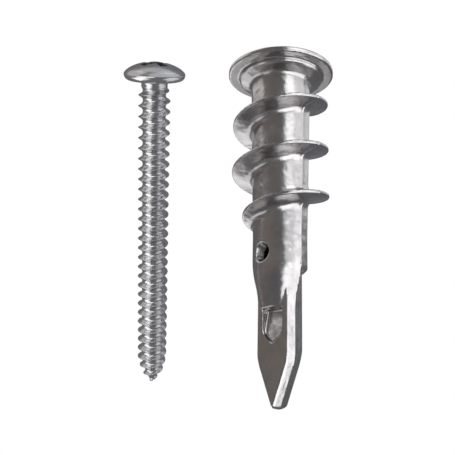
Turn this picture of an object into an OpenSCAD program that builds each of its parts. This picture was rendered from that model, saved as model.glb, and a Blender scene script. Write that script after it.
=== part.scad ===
// Self-drilling metal wall anchor for plasterboard, with its pan-head tapping screw.
// Millimetres, +Z up. The anchor stands flange up on the Z axis. Z = 0 is the plane
// of the flange's underside, which is the surface of the wall in use.
// The screw is a loose piece beside the anchor.

/* [Anchor flange] */
// Flange diameter
flange_d = 15; // [14:0.5:17]
// Flange rim height above the wall plane
rim_h = 0.85; // [0.6:0.05:1.2]
// Diameter of the stepped boss under the flange
boss_d = 11.9; // [11:0.1:12.6]
// Depth of the stepped boss under the flange
boss_h = 0.65; // [0.4:0.05:1]

/* [Anchor body] */
// Body diameter under the flange
body_top_d = 8.4; // [8:0.1:8.8]
// Diameter of the plain barrel
barrel_d = 7.3; // [7:0.1:7.8]
// Height where the taper ends and the plain barrel starts
barrel_top_z = -24.3; // [-25:0.1:-23.5]
// Height of the barrel's lower end
barrel_end_z = -28.95; // [-30:0.05:-28.5]
// Diameter of the screw bore
bore_d = 3.4; // [3.2:0.1:3.6]
// Diameter of the clearance bore at the mouth
mouth_d = 4.4; // [4.3:0.1:4.8]

/* [Anchor thread] */
// Thread outside diameter
thread_d = 13.4; // [12.4:0.1:13.8]
// Thread pitch, right hand
thread_pitch = 6.9; // [6.2:0.1:7.2]
// Width of the thread's crest
crest_w = 0.46; // [0.3:0.02:0.7]

/* [Drill blade] */
// Blade width
blade_w = 5.1; // [4.8:0.1:5.5]
// Blade thickness
blade_t = 3.55; // [3.4:0.01:3.7]
// Height where the blade starts to narrow
shoulder_z = -40.75; // [-42:0.25:-40]
// Height of the chisel tip
tip_z = -46.75; // [-48:0.05:-45.5]
// Width of the chisel tip
tip_w = 0.4; // [0.3:0.1:0.8]
// Window width in the blade's front face
window_w = 3.3; // [3:0.1:3.5]
// Turn of the blade's front face about the anchor's axis, degrees
blade_turn = -45; // [-60:5:-30]

/* [Screw] */
// Screw length under the head
screw_l = 44.45; // [38:0.05:46]
// Screw thread outside diameter
screw_od = 4.2; // [4:0.1:4.4]
// Screw core diameter
core_d = 3.02; // [2.9:0.02:3.1]
// Screw thread pitch
screw_pitch = 1.411; // [1.2:0.001:1.6]
// Head diameter
head_d = 7.9; // [7.6:0.1:8.4]
// Head height
head_h = 2.4; // [2.2:0.1:2.7]

/* [Layout of the loose screw] */
// Centre of the head's underside, X
screw_x = -17.5; // [-24:0.1:-15]
// Centre of the head's underside, Y
screw_y = -9.3; // [-12:0.1:5]
// Centre of the head's underside, Z
screw_z = -6.4; // [-9:0.1:4]
// Lean of the screw, head forward, degrees
screw_lean = 36.5; // [0:0.5:40]
// Lean of the screw to the side, degrees
screw_side = -0.9; // [-3:0.1:3]

/* [Hidden] */
eps = 0.01;
flange_r = flange_d / 2;
thread_r = thread_d / 2;
half_w = blade_w / 2;
front_t = 1.63;         // from the axis to the blade's front face
flange_top = rim_h + 0.35;
cone_end_z = -34.05;   // lower lip of the half cone over the window
cone_end_r = 2.35;
bore_end_z = -33.6;     // blind end of the bore, just above the window
blade_bore_d = 2.84;
side_hole_z = -26.8;
side_hole_d = 1.6;
side_sink_d = 2.9;      // sunk rim of the side hole
side_hole_turn = -6;    // from the blade's front face
window_end_z = -38.45;
right_crest_z = -4.35; // height of the first crest on the +X side
first_turn = -0.3;     // thread start and end, in turns down from there
last_turn = 2.78;
thread_zone_top = -1.3; // top of the tapered, threaded stretch
thread_rows = 96;       // steps down the threaded stretch, and round it
thread_cols = 36;
shank_rows = 180;       // steps down the screw's shank
head_rim = 0.78;        // height of the widest part of the screw's head
recess_turn = 42;
neck_end_z = -0.95;     // plain neck under the screw's head

function ease(a, b, t) = let (u = min(1, max(0, (t - a) / (b - a)))) u * u * (3 - 2 * u);
function fade(t) = ease(first_turn, first_turn + 0.2, t) * (1 - ease(2.22, last_turn, t));

// a closed solid from flat rings of equal counts, listed from the top down
module rings_solid(rings) {
    n = len(rings);
    m = len(rings[0]);
    polyhedron(
        points = [for (r = rings) for (p = r) p],
        faces = concat(
            [[for (j = [m - 1:-1:0]) j]],
            [for (i = [0:n - 2]) for (j = [0:m - 1]) let (k = (j + 1) % m) each
                [[i * m + j, i * m + k, (i + 1) * m + k],
                 [i * m + j, (i + 1) * m + k, (i + 1) * m + j]]],
            [[for (j = [0:m - 1]) (n - 1) * m + j]]));
}

// turns down from the +X side to the crest that is nearest to a point at angle a, height z
function turn_at(a, z, z0, pitch) = round((z0 - z) / pitch + a / 360) - a / 360;

// half section of the coarse thread: distance from the crest's centre, radius
thread_section = [[0, thread_r], [crest_w / 2, thread_r], [0.5, 5.3], [0.8, 4.6], [1.25, 4.1], [1.5, 3.3]];

function body_r(z) = body_top_d / 2
    + (barrel_d / 2 - body_top_d / 2) * (z - thread_zone_top) / (barrel_top_z - thread_zone_top);

function body_thread_r(a, z) =
    let (t = turn_at(a, z, right_crest_z, thread_pitch),
         d = abs(z - right_crest_z + thread_pitch * t),
         core = body_r(z) + 0.02)
    core + max(0, lookup(d, thread_section) - core) * fade(t);

// tapered body with its coarse thread
module threaded_body() {
    rings_solid([for (i = [0:thread_rows])
        let (z = thread_zone_top + (barrel_top_z - thread_zone_top) * i / thread_rows)
        [for (j = [0:thread_cols - 1])
            let (a = 360 * j / thread_cols, r = body_thread_r(a, z))
            [r * cos(a), r * sin(a), z]]]);
}

// flange with its rim, stepped boss and the cone into the body
module flange() {
    rotate_extrude($fn = 96)
        polygon([[0, thread_zone_top], [body_top_d / 2 + 0.15, thread_zone_top],
            [body_top_d / 2 + 0.55, -boss_h - 0.42],
            [boss_d / 2 - 0.15, -boss_h], [boss_d / 2, -boss_h + 0.15], [boss_d / 2, 0],
            [flange_r - 0.15, 0], [flange_r, 0.15], [flange_r, rim_h - 0.2],
            [flange_r - 0.2, rim_h], [flange_r - 1.1, flange_top], [0, flange_top]]);
}

module barrel() {
    translate([0, 0, barrel_end_z])
        cylinder(d = barrel_d, h = barrel_top_z - barrel_end_z, $fn = 96);
}

// front half of the barrel's end runs down as a half cone, the back half is a plain step
module half_cone() {
    intersection() {
        rotate_extrude($fn = 96)
            polygon([[0, barrel_end_z + 0.5], [barrel_d / 2, barrel_end_z + 0.5],
                [barrel_d / 2, barrel_end_z], [cone_end_r, cone_end_z], [0, cone_end_z]]);
        translate([-6, -6, cone_end_z - 1]) cube([12, 6, 8]);
    }
}

// flat blade with a pointed outline of even thickness
module blade() {
    translate([0, blade_t - front_t, 0]) rotate([90, 0, 0])
        linear_extrude(height = blade_t)
            polygon([[-half_w, barrel_end_z + 1], [half_w, barrel_end_z + 1],
                [half_w, shoulder_z], [tip_w / 2, tip_z], [-tip_w / 2, tip_z],
                [-half_w, shoulder_z]]);
}

// cross recess for a No. 2 driver: two crossed wings that narrow with depth
module cross_recess(top_z, bottom_z, top_half, bottom_half, wing_w) {
    for (a = [0, 90]) rotate([0, 0, a])
        translate([0, wing_w / 2, 0]) rotate([90, 0, 0])
            linear_extrude(height = wing_w)
                polygon([[-top_half, top_z + 1], [top_half, top_z + 1], [top_half, top_z],
                    [bottom_half, bottom_z], [-bottom_half, bottom_z], [-top_half, top_z]]);
}

module anchor_bores() {
    // mouth, screw bore and the narrower end of the bore inside the blade
    translate([0, 0, -6.2]) cylinder(d = mouth_d, h = 12, $fn = 64);
    translate([0, 0, -28.8]) cylinder(d = bore_d, h = 25, $fn = 64);
    translate([0, 0, bore_end_z + 0.5]) cylinder(d = blade_bore_d, h = 6, $fn = 64);
    translate([0, 0, bore_end_z]) cylinder(d1 = 0.8, d2 = blade_bore_d, h = 0.5 + eps, $fn = 64);
    // shallow dish in the flange's face
    translate([0, 0, flange_top - 0.3]) cylinder(d1 = 9.4, d2 = 10.4, h = 0.3 + eps, $fn = 96);
    rotate([0, 0, 20]) cross_recess(flange_top - 0.3, -2.4, 4.1, 2.5, 1.7);
}

// window under the lip of the half cone, over a ramp that rises to the blade's face
module window() {
    intersection() {
        rotate([90, 0, 0]) linear_extrude(height = 5)
            polygon([[-window_w / 2, cone_end_z], [window_w / 2, cone_end_z],
                [window_w / 2, -37.2], [0.45, window_end_z], [-0.55, window_end_z],
                [-window_w / 2, -37.3]]);
        rotate([90, 0, 90]) translate([0, 0, -4]) linear_extrude(height = 8)
            polygon([[-6, cone_end_z + 1], [-0.55, cone_end_z + 1], [-0.55, cone_end_z],
                [-1.3, window_end_z - 0.1], [-6, window_end_z - 0.1]]);
    }
}

module anchor_body() {
    color([0.47, 0.46, 0.47])
        difference() {
            union() {
                flange();
                threaded_body();
                barrel();
                rotate([0, 0, blade_turn]) {
                    half_cone();
                    blade();
                }
            }
            anchor_bores();
            rotate([0, 0, blade_turn]) {
                // round side hole from the front into the bore, with a sunk rim
                rotate([0, 0, side_hole_turn]) translate([0, 0, side_hole_z]) rotate([90, 0, 0])
                    cylinder(d = side_hole_d, h = 8, $fn = 48);
                rotate([0, 0, side_hole_turn]) translate([0, -2.6, side_hole_z]) rotate([90, 0, 0])
                    cylinder(d1 = side_hole_d - 0.1, d2 = side_sink_d, h = 1.1, $fn = 48);
                window();
            }
        }
}

// radius of the screw's core at a distance above the point
function core_r(left) = left > 4.2 ? core_d / 2
    : left > 1.9 ? core_d / 2 * (0.62 + 0.38 * (left - 1.9) / 2.3)
    : 0.08 + (core_d / 2 * 0.62 - 0.08) * left / 1.9;

// sharp tapping thread, run out at the neck and drawn in at the point
function screw_r(a, z) =
    let (left = z + screw_l,
         t = turn_at(a, z, neck_end_z - 0.3, screw_pitch),
         d = abs(z - neck_end_z + 0.3 + screw_pitch * t),
         core = core_r(left),
         crest = core + (screw_od - core_d) / 2 * min(1, 0.2 + left / 3) * ease(-0.3, 0.3, t))
    max(core, crest - (crest - core) * max(0, d - 0.02) / 0.42);

module screw_shank() {
    rings_solid([for (i = [0:shank_rows])
        let (z = neck_end_z - (screw_l + neck_end_z) * i / shank_rows)
        [for (j = [0:15])
            let (a = 360 * j / 16, r = screw_r(a, z))
            [r * cos(a), r * sin(a), z]]]);
}

module screw_solid() {
    difference() {
        union() {
            // pan head: rounded under the rim, widest at head_rim, low dome above
            rotate_extrude($fn = 96)
                polygon(concat([[0, 0]],
                    [for (i = [0:6]) let (a = i * 15)
                        [head_d / 2 - 0.55 * (1 - sin(a)), head_rim * (1 - cos(a))]],
                    [for (i = [1:12]) let (t = i / 12)
                        [head_d / 2 * sqrt(1 - pow(t, 1.6)), head_rim + (head_h - head_rim) * t]]));
            // neck under the head
            rotate_extrude($fn = 64)
                polygon([[0, 0.1], [2.1, 0.1], [2.1, 0], [1.75, -0.35], [1.75, neck_end_z],
                    [0, neck_end_z]]);
            screw_shank();
        }
        rotate([0, 0, recess_turn]) cross_recess(head_h - 0.3, 0.75, 2.2, 1.1, 1.05);
        translate([0, 0, 0.5]) cylinder(d1 = 1.6, d2 = 2.6, h = 2.2, $fn = 48);
    }
}

module screw() {
    color([0.72, 0.72, 0.73])
        translate([screw_x, screw_y, screw_z]) rotate([screw_lean, screw_side, 0])
            screw_solid();
}

anchor_body();
screw();
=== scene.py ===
import math

import bpy
import numpy as np
from mathutils import Matrix, Vector


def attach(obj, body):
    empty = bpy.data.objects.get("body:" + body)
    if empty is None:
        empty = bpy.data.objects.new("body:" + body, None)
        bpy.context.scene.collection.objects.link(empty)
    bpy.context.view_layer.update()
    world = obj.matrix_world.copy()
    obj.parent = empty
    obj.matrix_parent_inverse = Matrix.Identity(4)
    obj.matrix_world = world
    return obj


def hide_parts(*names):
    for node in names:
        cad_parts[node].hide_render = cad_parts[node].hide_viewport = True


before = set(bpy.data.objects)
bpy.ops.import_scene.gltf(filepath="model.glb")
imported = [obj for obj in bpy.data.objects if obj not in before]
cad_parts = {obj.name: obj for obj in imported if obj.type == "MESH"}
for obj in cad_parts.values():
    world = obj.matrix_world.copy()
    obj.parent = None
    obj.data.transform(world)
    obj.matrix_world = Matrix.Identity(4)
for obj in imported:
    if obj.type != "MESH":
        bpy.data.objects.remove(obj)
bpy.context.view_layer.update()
MM = 0.001

# ---------------------------------------------------------------- camera
# The view of the anchor: from below, so that the flange's underside shows.
scene = bpy.context.scene
CAM_AT = np.array([-11.78, -93.03, -51.89])
YAW, PITCH, ROLL, FOCAL = 0.05, 0.3011, 0.0269, 722.95


def camera():
    fwd = np.array([math.sin(YAW) * math.cos(PITCH), math.cos(YAW) * math.cos(PITCH), math.sin(PITCH)])
    right = np.array([math.cos(YAW), -math.sin(YAW), 0.0])
    up = np.cross(right, fwd)
    c, s = math.cos(ROLL), math.sin(ROLL)
    r2, u2 = c * right + s * up, c * up - s * right
    m = Matrix.Identity(4)
    for i in range(3):
        m[i][0], m[i][1], m[i][2] = r2[i], u2[i], -fwd[i]
        m[i][3] = CAM_AT[i] * MM
    data = bpy.data.cameras.new("cam")
    data.sensor_width = 36
    data.lens = 36 * FOCAL / 455
    data.clip_start, data.clip_end = 0.005, 10
    cam = bpy.data.objects.new("cam", data)
    scene.collection.objects.link(cam)
    cam.matrix_world = m
    scene.camera = cam


camera()

# ---------------------------------------------------------------- distance fields
# Every solid is a distance field in millimetres, meshed on a fine grid. The blends give
# the small radii of a die casting and of a rolled screw.


def smax(a, b, k):
    h = np.clip(0.5 + 0.5 * (a - b) / k, 0, 1)
    return b + (a - b) * h + k * h * (1 - h)


def smin(a, b, k):
    return -smax(-a, -b, k)


def ease(a, b, t):
    u = np.clip((t - a) / (b - a), 0, 1)
    return u * u * (3 - 2 * u)


def polygon(x, y, pts):
    """Signed distance to a closed polygon, negative inside."""
    pts = np.asarray(pts, float)
    d = np.full(x.shape, 1e9)
    wn = np.zeros(x.shape, bool)
    n = len(pts)
    for i in range(n):
        ax, ay = pts[i]
        bx, by = pts[(i + 1) % n]
        ex, ey = bx - ax, by - ay
        wx, wy = x - ax, y - ay
        t = np.clip((wx * ex + wy * ey) / (ex * ex + ey * ey), 0, 1)
        d = np.minimum(d, (wx - ex * t) ** 2 + (wy - ey * t) ** 2)
        cond = (ay > y) != (by > y)
        if by != ay:
            wn ^= cond & (x < ax + (y - ay) * ex / (by - ay))
    d = np.sqrt(d)
    return np.where(wn, -d, d)


THREAD_R, PITCH_MM, FIRST_Z = 6.7, 6.9, -4.35
BLADE_TURN = math.radians(-45)
BARREL_END, CONE_END = -28.95, -34.05


def anchor_field(P):
    x, y, z = P[:, 0], P[:, 1], P[:, 2]
    r = np.hypot(x, y)
    th = np.arctan2(y, x)
    ct, st = math.cos(-BLADE_TURN), math.sin(-BLADE_TURN)
    u = ct * x - st * y  # across the blade
    v = st * x + ct * y  # through the blade, front face at -v
    # flange with stepped boss
    fl = polygon(r, z, [(-1, -1.2), (4.2, -1.2), (4.62, -0.98), (5.66, -0.55), (5.8, -0.42), (5.86, 0.0),
                        (6.1, 0.14), (7.28, 0.15), (7.37, 0.22), (7.37, 0.6), (7.22, 0.7), (6.35, 1.07),
                        (-1, 1.07)]) - 0.13
    # tapered body
    rb = np.interp(z, [-24.3, -1.3], [3.66, 4.2])
    body = (r - rb) * 0.9997
    # below, the front half runs on into a half cone and the back half ends in a chamfered step
    step = smax(body, BARREL_END - z, 0.16)
    step = smax(step, (r - 3.65 + 0.45 - (z - BARREL_END)) * 0.7071 - 0.02, 0.08)
    step = np.maximum(step, -v - 0.35)
    cone = (r - 2.36 - (z - CONE_END) * 0.253) * 0.969
    front = smax(smax(body, cone, 0.4), CONE_END - z, 0.14)
    front = smax(front, v + 0.15 - np.where(z > BARREL_END + 0.12, 1.2, 0), 0.1)
    body = np.maximum(np.minimum(step, front), z - 0.5)
    d = smin(fl, body, 0.45)
    # coarse thread
    t = np.round((FIRST_Z - z) / PITCH_MM + th / (2 * math.pi)) - th / (2 * math.pi)
    dz = np.abs(z - FIRST_Z + PITCH_MM * t)
    f = ease(-0.32, -0.08, t) * (1 - ease(2.08, 3.02, t))
    crest = rb - 0.75 + (THREAD_R - rb + 0.75) * f
    wide = 0.23 + np.maximum(crest - r, -0.5) * 0.19
    lead = np.cos(np.arctan2(PITCH_MM, 2 * math.pi * np.maximum(r, 2.5)))
    flank = (dz - wide) * lead * 0.982
    thread = smax(flank, (r - crest) * 0.97, 0.16)
    # the ridge sinks into the barrel before the turns it belongs to end
    thread = thread + 2.5 * (ease(-0.16, -0.5, t) + ease(2.76, 3.08, t) + ease(-27.0, -28.6, z))
    thread = np.where((t < -0.5) | (t > 3.08) | (z < -28.6), 9.0, thread)
    d = smin(d, thread, 0.95)
    # blade, widest at the mould's parting plane
    side = v + 0.22
    across = np.abs(u) - 2.62 + np.where(side < 0, -side * 0.14, side * 0.1)
    deep = smax(-1.63 - v, v - 1.92, 0.2)
    blade = smax(deep, across * 0.992, np.where(v < 0, 0.2, 0.5))
    shoulder = -40.75 + 0.42 * np.maximum(v, 0)
    tip = ((np.abs(u) - 2.57 + np.abs(side) * 0.12) * 6.0 + (shoulder - z) * 2.35) / 6.444
    blade = smax(blade, tip, 0.42)
    blade = smax(blade, -46.75 - z, 0.6)
    blade = np.maximum(blade, z + 27.5)
    d = smin(d, blade, 0.3)
    # mould parting line, a faint ridge in the blade's mid plane
    ridge = np.exp(-((v + 0.2) / 0.1) ** 2) * ease(-0.9, -1.6, z) * ease(-46.2, -45.2, z) * ease(2.2, 2.5, r)
    d = d - 0.045 * ridge
    # bores
    rr = np.interp(z, [-33.6, -33.1, -28.82, -28.78, -6.4, -6.0, 0.0], [0.35, 1.42, 1.42, 1.7, 1.7, 2.2, 2.25])
    bore = np.maximum(r - rr, -33.6 - z)
    d = smax(d, -bore, 0.1)
    # side hole, sunk round its rim
    c6, s6 = math.cos(math.radians(6)), math.sin(math.radians(6))
    u6, v6 = c6 * u - s6 * v, s6 * u + c6 * v
    sunk = 0.72 + 0.42 * np.clip((-2.3 - v6) / 0.9, 0, 1.6)
    hole = np.maximum(np.hypot(u6, z + 26.8) - sunk, v6) * 0.87
    d = smax(d, -hole, 0.2)
    # window over a ramp that rises to the blade's face
    win = np.abs(u) - 1.56 + (v + 1.63) * 0.12
    win = smax(win, z - CONE_END - 0.02, 0.1)
    floor = ((-37.1 - z) * 1.5 + (np.abs(u + 0.05) - 1.6) * 1.3) / 1.985
    win = smax(win, floor, 0.6)
    ramp = (v + 0.42 + (CONE_END - z) * 0.2) * 0.98
    win = smax(win, ramp, 0.5)
    win = smax(win, -38.4 - z, 0.3)
    d = smax(d, -win, 0.26)
    # dish and cross recess in the flange's face
    dish = np.maximum((r - 4.75 - (z - 0.9) * 1.3) * 0.61, 0.9 - z)
    d = smax(d, -dish, 0.16)
    c2, s2 = math.cos(math.radians(20)), math.sin(math.radians(20))
    p, q = np.abs(c2 * x + s2 * y), np.abs(c2 * y - s2 * x)
    slope = 4.1 - (0.9 - z) * 0.485
    for a, b in ((p, q), (q, p)):
        wing = smax(a - 0.78 - (z + 2.4) * 0.03, (b - slope) * 0.9, 0.2)
        wing = smax(wing, -2.4 - z, 0.2)
        d = smax(d, -wing, 0.14)
    return d


SC_L, SC_OD, SC_CORE, SC_P = 44.45, 2.1, 1.5, 1.411
# pan head: rounded under the rim, widest at a third of its height, low dome above
HEAD = ([(-1, 0.1), (3.3, 0.1)]
        + [(3.3 + 0.55 * math.sin(a), 0.72 - 0.62 * math.cos(a)) for a in np.linspace(0.1, math.pi / 2, 12)]
        + [(3.85 * math.sqrt(1 - t ** 1.42), 0.78 + 1.44 * t) for t in np.linspace(0, 1, 30)]
        + [(-1, 2.22)])


def screw_field(P):
    x, y, z = P[:, 0], P[:, 1], P[:, 2]
    r = np.hypot(x, y)
    th = np.arctan2(y, x)
    d = polygon(r, z, HEAD) - 0.1
    left = z + SC_L
    core = np.interp(left, [0, 0.5, 1.9, 4.2], [0.02, 0.3, 0.93, SC_CORE])
    neck = np.interp(z, [-1.3, -0.85], [0.0, 0.2])
    shank = smax((r - core - neck) * 0.95, -SC_L - z, 0.05)
    shank = np.maximum(shank, z - 0.5)
    t = np.round((-1.25 - z) / SC_P + th / (2 * math.pi)) - th / (2 * math.pi)
    dz = np.abs(z + 1.25 + SC_P * t)
    grown = ease(-0.42, 0.2, t)
    top = core + (SC_OD - SC_CORE) * np.clip(0.25 + left / 3, 0, 1) * grown - 0.05 * (1 - grown)
    top = np.where((t < -0.42) | (left < 0.15), -0.5, top)
    # flanks at 30 degrees, with a narrow flat on the crest
    flank = (dz - 0.035 - (top - r) * 0.62) * 0.85
    thread = smax(flank, r - top, 0.04)
    shank = smin(shank, thread, 0.22)
    d = smin(d, shank, 0.5)
    return smax(d, -recess_field(P), 0.1)


def recess_field(P):
    """The cross recess in the screw's head."""
    x, y, z = P[:, 0], P[:, 1], P[:, 2]
    r = np.hypot(x, y)
    bore = np.maximum(r - np.interp(z, [0.5, 2.4], [0.75, 1.3]), 0.5 - z)
    c1, s1 = math.cos(math.radians(42)), math.sin(math.radians(42))
    a1, b1 = np.abs(c1 * x + s1 * y), np.abs(c1 * y - s1 * x)
    slope = 1.15 + (z - 0.75) * 0.72
    cut = bore
    for a, b in ((a1, b1), (b1, a1)):
        wing = smax(a - 0.5 - (z - 0.75) * 0.06, (b - slope) * 0.81, 0.12)
        wing = smax(wing, 0.75 - z, 0.12)
        cut = smin(cut, wing, 0.2)
    return cut


# ---------------------------------------------------------------- meshing


def field_mesh(name, field, lo, hi, h, to_world, painted_shade_faces=None):
    """Surface nets on a grid that is filled only near the surface, then moved onto it."""
    B = 8
    lo = np.asarray(lo, float)
    nb = np.ceil((np.asarray(hi, float) - lo) / (h * B)).astype(int)
    n = nb * B + 1
    bi = np.stack(np.meshgrid(*[np.arange(k) for k in nb], indexing="ij"), -1).reshape(-1, 3)
    mid = field(lo + (bi + 0.5) * B * h)
    near = np.abs(mid) < B * h * 1.25
    D = np.empty(n, np.float32)
    fill = mid.reshape(nb)
    D[:-1, :-1, :-1] = np.repeat(np.repeat(np.repeat(fill, B, 0), B, 1), B, 2)
    D[-1, :, :], D[:, -1, :], D[:, :, -1] = 1, 1, 1
    off = np.stack(np.meshgrid(*[np.arange(B + 1)] * 3, indexing="ij"), -1).reshape(-1, 3)
    blocks = bi[near] * B
    for s in range(0, len(blocks), 400):
        ijk = (blocks[s:s + 400, None, :] + off[None]).reshape(-1, 3)
        D[ijk[:, 0], ijk[:, 1], ijk[:, 2]] = field(lo + ijk * h)
    inside = D < 0
    count = np.zeros(n - 1, np.uint8)
    corner = [(a, b, c) for a in (0, 1) for b in (0, 1) for c in (0, 1)]
    for a, b, c in corner:
        count += inside[a:n[0] - 1 + a, b:n[1] - 1 + b, c:n[2] - 1 + c]
    cells = np.argwhere((count > 0) & (count < 8))
    index = np.full(n - 1, -1, np.int32)
    index[cells[:, 0], cells[:, 1], cells[:, 2]] = np.arange(len(cells))
    total = np.zeros((len(cells), 3))
    hits = np.zeros(len(cells))
    for a in range(3):
        for b, c in ((0, 0), (0, 1), (1, 0), (1, 1)):
            o = np.zeros(3, int)
            o[(a + 1) % 3], o[(a + 2) % 3] = b, c
            e = o.copy()
            e[a] = 1
            p, q = cells + o, cells + e
            dp = D[p[:, 0], p[:, 1], p[:, 2]].astype(float)
            dq = D[q[:, 0], q[:, 1], q[:, 2]].astype(float)
            hit = (dp < 0) != (dq < 0)
            t = np.where(hit, dp / np.where(hit, dp - dq, 1), 0)
            total += np.where(hit[:, None], p + t[:, None] * (q - p), 0)
            hits += hit
    V = lo + total / hits[:, None] * h

    def gradient(V, e=0.02):
        g = np.empty_like(V)
        for a in range(3):
            s = np.zeros(3)
            s[a] = e
            g[:, a] = (field(V + s) - field(V - s)) / (2 * e)
        return g

    for _ in range(3):
        g = gradient(V)
        step = field(V)[:, None] * g / np.maximum((g * g).sum(1), 0.25)[:, None]
        size = np.linalg.norm(step, axis=1)
        V -= step * np.minimum(1, 0.6 * h / np.maximum(size, 1e-9))[:, None]
    g = gradient(V, 0.03)
    N = g / np.maximum(np.linalg.norm(g, axis=1), 1e-9)[:, None]
    quads = []
    for a in range(3):
        b, c = (a + 1) % 3, (a + 2) % 3
        head = [slice(None)] * 3
        tail = [slice(None)] * 3
        head[a], tail[a] = slice(0, n[a] - 1), slice(1, n[a])
        s0, s1 = inside[tuple(head)], inside[tuple(tail)]
        at = np.argwhere(s0 != s1)
        at = at[(at[:, b] > 0) & (at[:, c] > 0) & (at[:, b] < n[b] - 1) & (at[:, c] < n[c] - 1)]
        out = s0[at[:, 0], at[:, 1], at[:, 2]]
        ring = []
        for db, dc in ((-1, -1), (0, -1), (0, 0), (-1, 0)):
            k = at.copy()
            k[:, b] += db
            k[:, c] += dc
            ring.append(index[k[:, 0], k[:, 1], k[:, 2]])
        q = np.stack(ring, 1)
        q[~out] = q[~out][:, ::-1]
        quads.append(q)
    Q = np.concatenate(quads)
    R = np.array(to_world.to_3x3())
    T = np.array(to_world.translation)
    W = (V @ R.T + T) * MM
    N = N @ R.T
    mesh = bpy.data.meshes.new(name)
    mesh.vertices.add(len(W))
    mesh.vertices.foreach_set("co", W.astype(np.float32).ravel())
    mesh.loops.add(Q.size)
    mesh.loops.foreach_set("vertex_index", Q.astype(np.int32).ravel())
    mesh.polygons.add(len(Q))
    mesh.polygons.foreach_set("loop_start", np.arange(0, Q.size, 4, dtype=np.int32))
    mesh.polygons.foreach_set("use_smooth", np.ones(len(Q), bool))
    # faces picked by painted_shade_faces take the second material, which paints shade
    if painted_shade_faces is not None:
        mesh.polygons.foreach_set("material_index", painted_shade_faces(V[Q].mean(1)).astype(np.int32))
    mesh.update(calc_edges=True)
    mesh.validate()
    if len(mesh.vertices) == len(N):
        mesh.normals_split_custom_set_from_vertices([tuple(k) for k in N])
    ob = bpy.data.objects.new(name, mesh)
    scene.collection.objects.link(ob)
    print(name, len(W), "points", len(Q), "faces")
    return ob


FINE = 1.0
anchor = field_mesh("anchor_casting", anchor_field, (-7.9, -7.9, -47.2), (7.9, 7.9, 1.6), 0.172 * FINE,
                    Matrix.Identity(4))
lean, side = math.radians(36.5), math.radians(-0.9)
screw_at = Matrix.Translation((-17.5, -9.3, -6.4)) @ Matrix.Rotation(side, 4, "Y") @ Matrix.Rotation(lean, 4, "X")
# faces near the cross recess's walls take the dark second material: painted shade inside the recess
screw = field_mesh("pan_head_screw", screw_field, (-4.5, -4.5, -44.9), (4.5, 4.5, 2.8), 0.108 * FINE, screw_at,
                   lambda P: (recess_field(P) < 0.05) & (P[:, 2] > 0.4))
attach(anchor, "anchor")
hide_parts("anchor_body")
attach(screw, "screw")
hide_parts("screw")

# ---------------------------------------------------------------- materials


def metal(name, colour, dark, rough, rough_span, wave, wave_mm, pit, pit_mm, grain=0.0):
    m = bpy.data.materials.new(name)
    m.use_nodes = True
    nt = m.node_tree
    nt.nodes.clear()
    N, L = nt.nodes.new, nt.links.new
    out = N("ShaderNodeOutputMaterial")
    bsdf = N("ShaderNodeBsdfPrincipled")
    L(bsdf.outputs[0], out.inputs[0])
    bsdf.inputs["Metallic"].default_value = 1.0
    tc = N("ShaderNodeTexCoord")

    def noise(mm, detail, rough=0.5, distort=0.0):
        n = N("ShaderNodeTexNoise")
        n.inputs["Scale"].default_value = 1000 / mm
        n.inputs["Detail"].default_value = detail
        n.inputs["Roughness"].default_value = rough
        n.inputs["Distortion"].default_value = distort
        L(tc.outputs["Object"], n.inputs["Vector"])
        return n

    def ramp(src, stops):
        r = N("ShaderNodeValToRGB")
        while len(r.color_ramp.elements) < len(stops):
            r.color_ramp.elements.new(0.5)
        for e, (p, c) in zip(r.color_ramp.elements, stops):
            e.position = p
            e.color = (*c, 1) if isinstance(c, tuple) else (c, c, c, 1)
        L(src, r.inputs[0])
        return r.outputs[0]

    cloud = noise(3.2, 4, 0.6, 0.4)
    L(ramp(cloud.outputs[0], [(0.36, dark), (0.62, colour)]), bsdf.inputs["Base Color"])
    rn = noise(1.1, 5, 0.65)
    L(ramp(rn.outputs[0], [(0.3, rough), (0.7, rough + rough_span)]), bsdf.inputs["Roughness"])
    w = noise(wave_mm, 2, 0.5)
    b1 = N("ShaderNodeBump")
    b1.inputs["Strength"].default_value = 1.0
    b1.inputs["Distance"].default_value = wave * MM
    L(w.outputs[0], b1.inputs["Height"])
    p = noise(pit_mm, 6, 0.7)
    b2 = N("ShaderNodeBump")
    b2.inputs["Strength"].default_value = 1.0
    b2.inputs["Distance"].default_value = pit * MM
    L(p.outputs[0], b2.inputs["Height"])
    L(b1.outputs[0], b2.inputs["Normal"])
    L(b2.outputs[0], bsdf.inputs["Normal"])
    return m


cast = metal("cast_zinc", (0.60, 0.585, 0.58), (0.50, 0.485, 0.485), 0.17, 0.1, 0.15, 2.3, 0.022, 0.5)
plate = metal("zinc_plate", (0.82, 0.82, 0.83), (0.74, 0.74, 0.755), 0.16, 0.12, 0.03, 1.2, 0.01, 0.3)
anchor.data.materials.append(cast)
screw.data.materials.append(plate)
# the recess gets a dark material: painted shade in the openings of the head, standing in for the shade of their
# depth
screw.data.materials.append(metal("zinc_plate_recess_painted_shade", (0.2, 0.2, 0.205), (0.11, 0.11, 0.115), 0.4, 0.15, 0.03, 1.2,
                                  0.01, 0.3))

# ---------------------------------------------------------------- stage and lights


def backdrop_mix(nt, out, seen, room):
    """The white the camera sees behind the object, and the dimmer room that lights it."""
    mix = nt.nodes.new("ShaderNodeMixShader")
    lp = nt.nodes.new("ShaderNodeLightPath")
    nt.links.new(lp.outputs["Is Camera Ray"], mix.inputs[0])
    nt.links.new(room, mix.inputs[1])
    nt.links.new(seen, mix.inputs[2])
    nt.links.new(mix.outputs[0], out)


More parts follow.
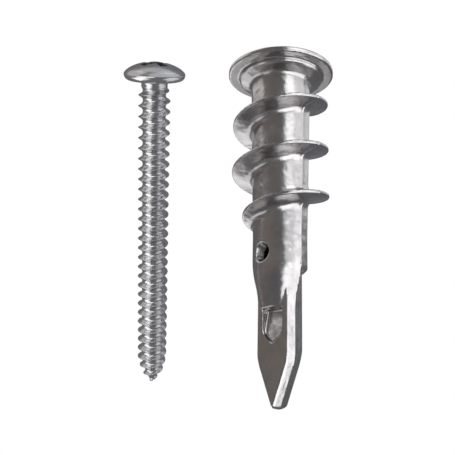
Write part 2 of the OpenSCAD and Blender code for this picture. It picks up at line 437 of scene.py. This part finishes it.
FLOOR_Z = -0.4
floor_mesh = bpy.data.meshes.new("floor")
floor_mesh.from_pydata([(-3, -3, FLOOR_Z), (3, -3, FLOOR_Z), (3, 3, FLOOR_Z), (-3, 3, FLOOR_Z)], [], [(0, 1, 2, 3)])
floor = bpy.data.objects.new("floor", floor_mesh)
scene.collection.objects.link(floor)
fm = bpy.data.materials.new("floor")
fm.use_nodes = True
nt = fm.node_tree
nt.nodes.clear()
fo = nt.nodes.new("ShaderNodeOutputMaterial")
pale = nt.nodes.new("ShaderNodeEmission")
pale.inputs["Color"].default_value = (0.99, 0.99, 0.99, 1)
cloth = nt.nodes.new("ShaderNodeBsdfDiffuse")
cloth.inputs["Color"].default_value = (0.9, 0.9, 0.9, 1)
backdrop_mix(nt, fo.inputs[0], pale.outputs[0], cloth.outputs[0])
floor_mesh.materials.append(fm)

world = bpy.data.worlds.new("studio")
scene.world = world
world.use_nodes = True
wt = world.node_tree
wt.nodes.clear()
wo = wt.nodes.new("ShaderNodeOutputWorld")
room = wt.nodes.new("ShaderNodeBackground")
white = wt.nodes.new("ShaderNodeBackground")
white.inputs[0].default_value = (1, 1, 1, 1)
way = wt.nodes.new("ShaderNodeTexCoord")
dot = wt.nodes.new("ShaderNodeVectorMath")
dot.operation = "DOT_PRODUCT"
dot.inputs[1].default_value = (0.966, 0.259, 0.0)
walls = wt.nodes.new("ShaderNodeValToRGB")
e = walls.color_ramp.elements
e[0].position, e[0].color = 0.0, (0.215, 0.19, 0.175, 1)
e[1].position, e[1].color = 1.0, (0.17, 0.175, 0.19, 1)
for at, colour in ((0.4, (0.15, 0.148, 0.15, 1)), (0.6, (0.15, 0.158, 0.18, 1))):
    k = e.new(at)
    k.color = colour
half = wt.nodes.new("ShaderNodeMath")
half.operation = "MULTIPLY_ADD"
half.inputs[1].default_value = 0.5
half.inputs[2].default_value = 0.5
wt.links.new(way.outputs["Generated"], dot.inputs[0])
wt.links.new(dot.outputs["Value"], half.inputs[0])
wt.links.new(half.outputs[0], walls.inputs[0])
wt.links.new(walls.outputs[0], room.inputs[0])
backdrop_mix(wt, wo.inputs[0], white.outputs[0], room.outputs[0])
scene.view_settings.view_transform = "Standard"

only = {}
for ob in (anchor, screw):
    only[ob.name] = bpy.data.collections.new("lit_" + ob.name)
    only[ob.name].objects.link(ob)


def softbox(name, lit, azimuth, elevation, distance, width, height, radiance, colour=(1, 1, 1)):
    """azimuth is to the right of the camera's side of the object, as the front is seen."""
    a, e = math.radians(azimuth), math.radians(elevation)
    data = bpy.data.lights.new(name, "AREA")
    data.shape = "RECTANGLE"
    data.size, data.size_y = width, height
    data.energy = radiance * math.pi * width * height
    data.color = colour
    ob = bpy.data.objects.new(name, data)
    way = Vector((math.sin(a) * math.cos(e), -math.cos(a) * math.cos(e), math.sin(e)))
    ob.location = Vector((0, 0, -0.022)) + way * distance
    ob.rotation_mode = "QUATERNION"
    ob.rotation_quaternion = way.to_track_quat("Z", "Y")
    ob.visible_camera = False
    scene.collection.objects.link(ob)
    if lit:
        ob.light_linking.receiver_collection = only[lit.name]
    return ob


def box(name, lit, az0, az1, el0, el1, radiance, colour=(1, 1, 1), distance=0.45):
    """A softbox that fills a stretch of azimuth and elevation, seen from the object."""
    size = [2 * distance * math.tan(math.radians(abs(k1 - k0) / 2)) for k0, k1 in ((az0, az1), (el0, el1))]
    return softbox(name, lit, (az0 + az1) / 2, (el0 + el1) / 2, distance, size[0], size[1], radiance, colour)


box("key_front", anchor, 13, 45, 18.5, 54, 1.8, (0.97, 0.985, 1))
box("key_gap", anchor, 15, 52, 1, 17.5, 0.7, (0.97, 0.985, 1))
box("key_under", anchor, 8, 48, -48, 0, 1.9, (0.97, 0.985, 1))
box("key_low", anchor, 50, 92, -45, 18, 1.6)
box("key_high", anchor, 50, 92, 19, 52, 0.95)
box("fill_right", anchor, 102, 146, 17, 52, 0.7)
box("back_left", anchor, -172, -132, -45, -8, 0.8)
box("back_low", anchor, 165, 195, -40, -8, 0.4)
box("low_left", anchor, -124, -66, -68, -30, 0.75, (1, 0.985, 0.97))
box("high_left", anchor, -140, -84, 26, 74, 0.7)
box("screw_key", screw, -104, -44, -56, -18, 1.2, distance=0.36)
box("screw_side", screw, 60, 110, -50, 0, 0.58, distance=0.36)
box("screw_front", screw, -2, 80, 18, 70, 0.34)
softbox("screw_top", screw, 0, 80, 0.45, 0.5, 0.2, 0.3)
box("screw_left", screw, -100, -52, 10, 64, 0.3)
box("screw_rim", screw, -56, -4, -12, 12, 1.5)
